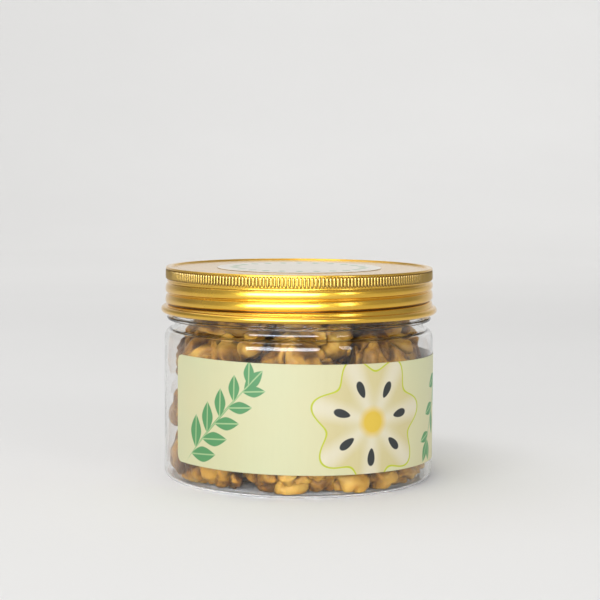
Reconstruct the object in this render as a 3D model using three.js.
// A squat clear plastic jar of dried fruit pieces, closed by a gold aluminium screw cap.
// Millimetres, +Z up. The origin is the centre of the base, and the front faces -Y.
// An angle is measured from the front, growing towards +X, so it runs anticlockwise from above.
import * as THREE from "three";
import { mergeVertices } from "three/addons/utils/BufferGeometryUtils.js";

const TURN = 2 * Math.PI;
const degrees = (value) => (value * TURN) / 360;

// How finely the round parts are divided
const COLUMNS = 48;
const RIBS = 144;
const THREAD_ROWS = 4;

// Jar body, a thin-walled bottle with a slightly pushed-up base
const BODY_RADIUS = 42.5;
const WALL = 0.8;
const BASE_CORNER = 2.1;
const FOOT_INNER = 38.2;
const PUNT_RADIUS = 30;
const PUNT_HEIGHT = 1.6;
const SHOULDER_CORNER = 1.8;
const SHOULDER_TOP = 47;
const INNER_RADIUS = BODY_RADIUS - WALL;
const FLOOR_HEIGHT = PUNT_HEIGHT + WALL;

// Neck, with a support ring under the thread
const NECK_RADIUS = 39.4;
const NECK_FILLET = 0.5;
const FINISH_RADIUS = 39.9;
const RING_RADIUS = 41.8;
const RING_HEIGHT = 50.3;
const RING_EDGE = 0.5;
const RIM_HEIGHT = 64.5;
const RIM_CORNER = 0.4;
const NECK_INNER = NECK_RADIUS - WALL;

// Right-handed single-start thread, shared by the neck and the cap
const PITCH = 3.4;
const THREAD_FOOT = 54.6;
const GROOVE_HEIGHT = 55.45;
const RIDGE_HEIGHT = GROOVE_HEIGHT + PITCH / 2;
const RIDGE_CREST = 1.5;
const RIDGE_HALF_WIDTH = 1.25;
const RIDGE_START = -0.15;
const RIDGE_END = 1.15;
const RIDGE_FADE = 0.07;
const RIDGE_LIMIT = 62;

// Screw cap, rolled from thin sheet with a curled lower edge
const CAP_HEIGHT = 66.4;
const CAP_RADIUS = 42.3;
const CAP_WALL = 0.5;
const CAP_INNER = 41.6;
const CAP_INNER_CORNER = 0.7;
const GROOVE_DEPTH = 0.8;
const GROOVE_FADE = 1;
const NOTCH_RADIUS = 41.6;
const NOTCH_HEIGHT = 62.3;
const RIB_PEAK = 42.25;
const RIB_VALLEY = 41.95;
const RIB_BOTTOM = 62.6;
const RIB_TOP = 65.2;
const CURL_EDGE = 43.65;
const CURL_TUBE = 1.1;
const CURL_HEIGHT = 53.05;
const TOP_CORNER = 1;
const TOP_RADIUS = 42.15;
const TOP_LEDGE = 40.6;
const PANEL_HEIGHT = 65.95;
const PANEL_RADIUS = 40.1;

// Sealing disc inside the cap
const LINER_RADIUS = 40.4;
const LINER_THICKNESS = 0.8;
const LINER_BOTTOM = RIM_HEIGHT + 0.05;

// Paper labels
const LABEL_GAP = 0.08;
const LABEL_THICKNESS = 0.2;
const LABEL_LEFT = degrees(-60);
const LABEL_RIGHT = degrees(210);
const LABEL_BOTTOM = 7.2;
const LABEL_TOP = 40.2;
const LABEL_CORNER = 2.5;
const LABEL_END = 0.2;
const LABEL_SLOPE = -0.5;
const LID_LABEL_RADIUS = 26;
const LID_LABEL_THICKNESS = 0.15;
const LID_LABEL_BOTTOM = PANEL_HEIGHT + 0.05;

// Fruit: a ring of pieces in each layer, two large ones in the core, and a heap on top.
// Sizes are half the length, depth and height before a piece meets the jar or its neighbours.
const RING_LAYERS = [7.8, 22.4, 36.2];
const RING_PIECES = 7;
const RING_REACH = 31.2;
const RING_SIZE = [14.5, 10.7, 9.2];
const CORE_LAYERS = [14, 32];
const CORE_SIZE = [19, 18, 11];
const HEAP_PIECES = 5;
const HEAP_REACH = 24;
const HEAP_HEIGHT = 45.5;
const HEAP_SIZE = [14.5, 10.5, 5.8];
const CROWN_PLACE = [degrees(200), 3, 47];
const CROWN_SIZE = [12, 11, 5.5];
const FRUIT_TILT = 0.3;
const FRUIT_LOBES = 0.13;
const FRUIT_GAP = 0.3;
const FRUIT_LIFT = 0.6;
const FRUIT_TAPER = 43.8;
const BODY_REACH = INNER_RADIUS - 0.5;
const NECK_REACH = NECK_INNER - 0.4;
const FINE = 2;
const COARSE = 1;

const smoothstep = (low, high, value) => THREE.MathUtils.smoothstep(value, low, high);

// A repeatable stream of numbers from 0 to 1.
function randomStream(seed) {
  let state = seed;
  return () => {
    state = (state * 16807) % 2147483647;
    return state / 2147483647;
  };
}

function pointAt(angle, radius, height) {
  return new THREE.Vector3(radius * Math.sin(angle), -radius * Math.cos(angle), height);
}

// One ring of a round surface. Its last point repeats the first, unless place() climbs.
function ring(place, columns = COLUMNS) {
  const points = [];
  for (let column = 0; column <= columns; column += 1) {
    const [radius, height] = place(column / columns, column);
    points.push(pointAt((TURN * column) / columns, radius, height));
  }
  return points;
}

// Outline points on an arc round a centre, from one angle to another, both in degrees.
function arc(radius, height, corner, from, to, steps) {
  const points = [];
  for (let step = 0; step <= steps; step += 1) {
    const angle = degrees(from + ((to - from) * step) / steps);
    points.push([radius + corner * Math.cos(angle), height + corner * Math.sin(angle)]);
  }
  return points;
}

const flatRings = (outline) => outline.map(([radius, height]) => ring(() => [radius, height]));

// The triangles between two rings, which may differ in their number of points.
function stitch(first, second, corners) {
  let a = 0;
  let b = 0;
  while (a < first.length - 1 || b < second.length - 1) {
    const nextA = (a + 1) / (first.length - 1);
    const nextB = (b + 1) / (second.length - 1);
    if (b === second.length - 1 || (a < first.length - 1 && nextA <= nextB)) {
      corners.push(first[a], first[a + 1], second[b]);
      a += 1;
    } else {
      corners.push(first[a], second[b + 1], second[b]);
      b += 1;
    }
  }
}

// A closed geometry from loose triangles: shared corners are merged and collapsed triangles dropped.
function closedGeometry(geometry) {
  geometry.deleteAttribute("normal");
  geometry.deleteAttribute("uv");
  const merged = mergeVertices(geometry, 1e-4);
  const index = merged.getIndex().array;
  const kept = [];
  for (let i = 0; i < index.length; i += 3) {
    const [a, b, c] = [index[i], index[i + 1], index[i + 2]];
    if (a !== b && b !== c && c !== a) {
      kept.push(a, b, c);
    }
  }
  merged.setIndex(kept);
  merged.computeVertexNormals();
  return merged;
}

// The surface through a list of rings, which runs up the outside and back down the inside.
function skin(rings) {
  const corners = [];
  for (let i = 0; i < rings.length - 1; i += 1) {
    stitch(rings[i], rings[i + 1], corners);
  }
  return closedGeometry(new THREE.BufferGeometry().setFromPoints(corners));
}

// Rings that climb with the thread between two heights. radiusAt takes turns and height.
function threadRings(low, high, radiusAt) {
  const step = PITCH / THREAD_ROWS;
  const rows = Math.ceil((high - low) / step);
  const rings = [];
  for (let row = -THREAD_ROWS; row <= rows; row += 1) {
    rings.push(ring((turns, column) => {
      const climbed = (row * COLUMNS + THREAD_ROWS * column) / COLUMNS;
      let height = THREE.MathUtils.clamp(low + climbed * step, low, high);
      if (height - low < step / 4) {
        height = low;
      }
      if (high - height < step / 4) {
        height = high;
      }
      return [radiusAt(turns, height), height];
    }));
  }
  return rings;
}

// The neck's thread: one rounded ridge of a little over a turn, fading out at both ends.
function ridgeRadius(turns, height) {
  const nearest = Math.round((height - RIDGE_HEIGHT) / PITCH - turns);
  const along = turns + nearest;
  const away = Math.abs(height - RIDGE_HEIGHT - PITCH * along);
  const fadeIn = smoothstep(RIDGE_START, RIDGE_START + RIDGE_FADE, along);
  const fadeOut = 1 - smoothstep(RIDGE_END - RIDGE_FADE, RIDGE_END, along);
  const shape = 1 - smoothstep(0, RIDGE_HALF_WIDTH, away);
  return FINISH_RADIUS + RIDGE_CREST * shape * fadeIn * fadeOut;
}

// The cap's thread, seen from outside as a groove that climbs into the notch under the ribs.
function capRadius(turns, height) {
  const phase = (height - GROOVE_HEIGHT) / PITCH - turns;
  const groove = 0.5 + 0.5 * Math.cos(TURN * phase);
  const fadeIn = smoothstep(THREAD_FOOT, THREAD_FOOT + GROOVE_FADE, height);
  const threaded = CAP_RADIUS - GROOVE_DEPTH * groove * fadeIn;
  const towardsNotch = smoothstep(NOTCH_HEIGHT - GROOVE_FADE, NOTCH_HEIGHT, height);
  return THREE.MathUtils.lerp(threaded, NOTCH_RADIUS, towardsNotch);
}

function jarGeometry() {
  const footOuter = BODY_RADIUS - BASE_CORNER;
  const shoulder = BODY_RADIUS - SHOULDER_CORNER;
  const shoulderHeight = SHOULDER_TOP - SHOULDER_CORNER;
  const fillet = NECK_RADIUS + NECK_FILLET;
  const filletHeight = SHOULDER_TOP + NECK_FILLET;
  const rim = RIM_HEIGHT - RIM_CORNER;
  const outside = flatRings([
    [0, PUNT_HEIGHT],
    [PUNT_RADIUS, PUNT_HEIGHT],
    [FOOT_INNER, 0],
    ...arc(footOuter, BASE_CORNER, BASE_CORNER, -90, 0, 4),
    ...arc(shoulder, shoulderHeight, SHOULDER_CORNER, 0, 90, 4),
    ...arc(fillet, filletHeight, NECK_FILLET, 270, 180, 2),
    [NECK_RADIUS, RING_HEIGHT - RING_EDGE],
    ...arc(RING_RADIUS - RING_EDGE, RING_HEIGHT, RING_EDGE, -90, 90, 4),
    [FINISH_RADIUS, RING_HEIGHT + RING_EDGE],
  ]);
  const thread = threadRings(THREAD_FOOT, RIDGE_LIMIT, ridgeRadius);
  const inside = flatRings([
    ...arc(FINISH_RADIUS - RIM_CORNER, rim, RIM_CORNER, 0, 90, 2),
    ...arc(NECK_INNER + RIM_CORNER, rim, RIM_CORNER, 90, 180, 2),
    ...arc(fillet, filletHeight, NECK_FILLET + WALL, 180, 270, 2),
    ...arc(shoulder, shoulderHeight, SHOULDER_CORNER - WALL, 90, 0, 2),
    ...arc(footOuter, BASE_CORNER, BASE_CORNER - WALL, 0, -90, 2),
    [FOOT_INNER, WALL],
    [PUNT_RADIUS, FLOOR_HEIGHT],
    [0, FLOOR_HEIGHT],
  ]);
  return skin([...outside, ...thread, ...inside]);
}

function capGeometry() {
  const innerRadius = (turns, height) => capRadius(turns, height) - CAP_WALL;
  const rib = (turns, column) => (column % 2 ? RIB_VALLEY : RIB_PEAK);
  const ribRing = (height) => ring((...place) => [rib(...place), height], 2 * RIBS);
  const ceiling = PANEL_HEIGHT - CAP_WALL;
  const curl = flatRings([
    [CAP_RADIUS - CAP_WALL, THREAD_FOOT],
    ...arc(CURL_EDGE - CURL_TUBE, CURL_HEIGHT, CURL_TUBE, 223, 450, 6),
  ]);
  const top = flatRings([
    ...arc(TOP_RADIUS - TOP_CORNER, CAP_HEIGHT - TOP_CORNER, TOP_CORNER, 0, 90, 3),
    [TOP_LEDGE, CAP_HEIGHT],
    [PANEL_RADIUS, PANEL_HEIGHT],
    [0, PANEL_HEIGHT],
    [0, ceiling],
    ...arc(CAP_INNER - CAP_INNER_CORNER, ceiling - CAP_INNER_CORNER, CAP_INNER_CORNER, 90, 0, 2),
    [CAP_INNER, RIB_BOTTOM],
  ]);
  return skin([
    ...curl,
    ...threadRings(THREAD_FOOT, NOTCH_HEIGHT, capRadius),
    ribRing(RIB_BOTTOM),
    ribRing(RIB_TOP),
    ...top,
    ...threadRings(THREAD_FOOT, NOTCH_HEIGHT, innerRadius).reverse(),
  ]);
}

// An upright disc, standing on the given height.
function discGeometry(radius, thickness, bottom) {
  const disc = new THREE.CylinderGeometry(radius, radius, thickness, COLUMNS);
  disc.rotateX(TURN / 4);
  disc.translate(0, 0, bottom + thickness / 2);
  return closedGeometry(disc);
}

// Angles of the label's columns: those of the jar's own facets, with closer ones in the corners.
function labelAngles() {
  const corner = LABEL_CORNER / BODY_RADIUS;
  const steps = [0, 0.1, 0.3, 0.6, 1];
  const angles = steps.map((share) => LABEL_LEFT + share * corner);
  const first = Math.round((LABEL_LEFT * COLUMNS) / TURN) + 1;
  const last = Math.round((LABEL_RIGHT * COLUMNS) / TURN) - 1;
  for (let column = first; column <= last; column += 1) {
    angles.push((column * TURN) / COLUMNS);
  }
  steps.reverse();
  steps.forEach((share) => angles.push(LABEL_RIGHT - share * corner));
  return angles;
}

// How far the rounded corner cuts into the label's edges at an angle.
function cornerCut(angle) {
  const end = BODY_RADIUS * Math.min(angle - LABEL_LEFT, LABEL_RIGHT - angle);
  const depth = Math.max(0, LABEL_CORNER - end);
  return LABEL_CORNER - Math.sqrt(LABEL_CORNER ** 2 - depth ** 2);
}

// A thin band bent round the body. It was stuck on a little askew, so it sinks towards the right.
function labelGeometry() {
  const angles = labelAngles();
  const columns = angles.length - 1;
  const band = new THREE.BoxGeometry(1, 1, 1, columns, 1, 1);
  const places = band.getAttribute("position");
  for (let i = 0; i < places.count; i += 1) {
    const angle = angles[Math.round((places.getX(i) + 0.5) * columns)];
    const outer = places.getY(i) < 0;
    const radius = BODY_RADIUS + LABEL_GAP + (outer ? LABEL_THICKNESS : 0);
    const cut = Math.min(cornerCut(angle), LABEL_CORNER - LABEL_END);
    const edge = places.getZ(i) > 0 ? LABEL_TOP - cut : LABEL_BOTTOM + cut;
    const place = pointAt(angle, radius, edge + LABEL_SLOPE * angle);
    places.setXYZ(i, place.x, place.y, place.z);
  }
  return closedGeometry(band);
}

// Where each fruit piece sits and how large it is, layer by layer from the floor.
function fruitPieces() {
  const random = randomStream(20817);
  const vary = (spread) => spread * (2 * random() - 1);
  const pieces = [];
  const add = (place, size, wall, detail) => {
    const [angle, reach, height] = place;
    pieces.push({
      centre: pointAt(angle + vary(0.13), reach + vary(1.2), height + vary(1)),
      size: size.map((half) => half * (1 + vary(0.1))),
      turn: new THREE.Euler(vary(FRUIT_TILT), vary(FRUIT_TILT), angle),
      phase: [random() * TURN, random() * TURN],
      wall,
      detail,
    });
  };
  RING_LAYERS.forEach((height, layer) => {
    for (let i = 0; i < RING_PIECES; i += 1) {
      const angle = (TURN * (i + layer / 2)) / RING_PIECES;
      add([angle, RING_REACH, height], RING_SIZE, BODY_REACH, FINE);
    }
  });
  CORE_LAYERS.forEach((height) => add([0, 0, height], CORE_SIZE, BODY_REACH, COARSE));
  for (let i = 0; i < HEAP_PIECES; i += 1) {
    const angle = (TURN * (i + 0.3)) / HEAP_PIECES;
    add([angle, HEAP_REACH, HEAP_HEIGHT], HEAP_SIZE, NECK_REACH, FINE);
  }
  add(CROWN_PLACE, CROWN_SIZE, NECK_REACH, FINE);
  return pieces;
}

// Whether a point lies in the jar and nearer to its own piece's centre than to any other's.
function inCell(point, piece, pieces) {
  const reach = Math.hypot(point.x, point.y);
  const slope = THREE.MathUtils.clamp((reach - PUNT_RADIUS) / (FOOT_INNER - PUNT_RADIUS), 0, 1);
  const floor = THREE.MathUtils.lerp(FLOOR_HEIGHT, WALL, slope) + FRUIT_LIFT;
  const taper = piece.wall === BODY_REACH ? Math.max(0, point.z - FRUIT_TAPER) : 0;
  if (point.z < floor || reach > piece.wall - taper) {
    return false;
  }
  return pieces.every((other) => {
    if (other === piece) {
      return true;
    }
    const apart = other.centre.clone().sub(piece.centre);
    const middle = other.centre.clone().add(piece.centre).multiplyScalar(0.5);
    return point.clone().sub(middle).dot(apart.normalize()) < -FRUIT_GAP / 2;
  });
}

// A dried piece: a lobed lump, pressed flat where it meets the jar or its neighbours.
function fruitGeometry(piece, pieces) {
  const lump = new THREE.IcosahedronGeometry(1, piece.detail);
  const places = lump.getAttribute("position");
  const [length, depth, height] = piece.size;
  const [first, second] = piece.phase;
  for (let i = 0; i < places.count; i += 1) {
    const way = new THREE.Vector3().fromBufferAttribute(places, i).normalize();
    const lobes = 1 + FRUIT_LOBES * Math.sin(5 * way.x + first) * Math.cos(4 * way.z + second);
    const reach = lobes / Math.hypot(way.x / length, way.y / depth, way.z / height);
    way.applyEuler(piece.turn);
    let low = 0;
    let high = reach;
    for (let halving = 0; halving < 16; halving += 1) {
      const middle = (low + high) / 2;
      const inside = inCell(way.clone().multiplyScalar(middle).add(piece.centre), piece, pieces);
      low = inside ? middle : low;
      high = inside ? high : middle;
    }
    places.setXYZ(i, way.x * low, way.y * low, way.z * low);
  }
  return closedGeometry(lump);
}

function pieceMesh(name, geometry, look) {
  const mesh = new THREE.Mesh(geometry, new THREE.MeshStandardMaterial(look));
  mesh.name = name;
  return mesh;
}

const clearPlastic = {
  color: 0xf1f3f0, roughness: 0.05, metalness: 0, transparent: true, opacity: 0.25,
};
const gold = { color: 0xd2a83c, roughness: 0.3, metalness: 1 };
const foam = { color: 0xece8dc, roughness: 0.8, metalness: 0 };
const labelPaper = { color: 0xe4e1b6, roughness: 0.45, metalness: 0 };
const whitePaper = { color: 0xe2dcd0, roughness: 0.45, metalness: 0 };
const fruitColours = [0xa37d3f, 0x8f6b30, 0xa8854d, 0x9a6f38];

const jar = new THREE.Group();
jar.add(pieceMesh("jar", jarGeometry(), clearPlastic));
jar.add(pieceMesh("jar_label", labelGeometry(), labelPaper));

const pieces = fruitPieces();
pieces.forEach((piece, i) => {
  const look = { color: fruitColours[i % fruitColours.length], roughness: 0.6, metalness: 0 };
  const name = `fruit_${String(i + 1).padStart(2, "0")}`;
  const lump = pieceMesh(name, fruitGeometry(piece, pieces), look);
  lump.position.copy(piece.centre);
  jar.add(lump);
});

const liner = discGeometry(LINER_RADIUS, LINER_THICKNESS, LINER_BOTTOM);
const lidLabel = discGeometry(LID_LABEL_RADIUS, LID_LABEL_THICKNESS, LID_LABEL_BOTTOM);

const cap = new THREE.Group();
cap.add(pieceMesh("lid_shell", capGeometry(), gold));
cap.add(pieceMesh("lid_liner", liner, foam));
cap.add(pieceMesh("lid_label", lidLabel, whitePaper));

const closedJar = new THREE.Group();
closedJar.add(jar, cap);

export default closedJar;
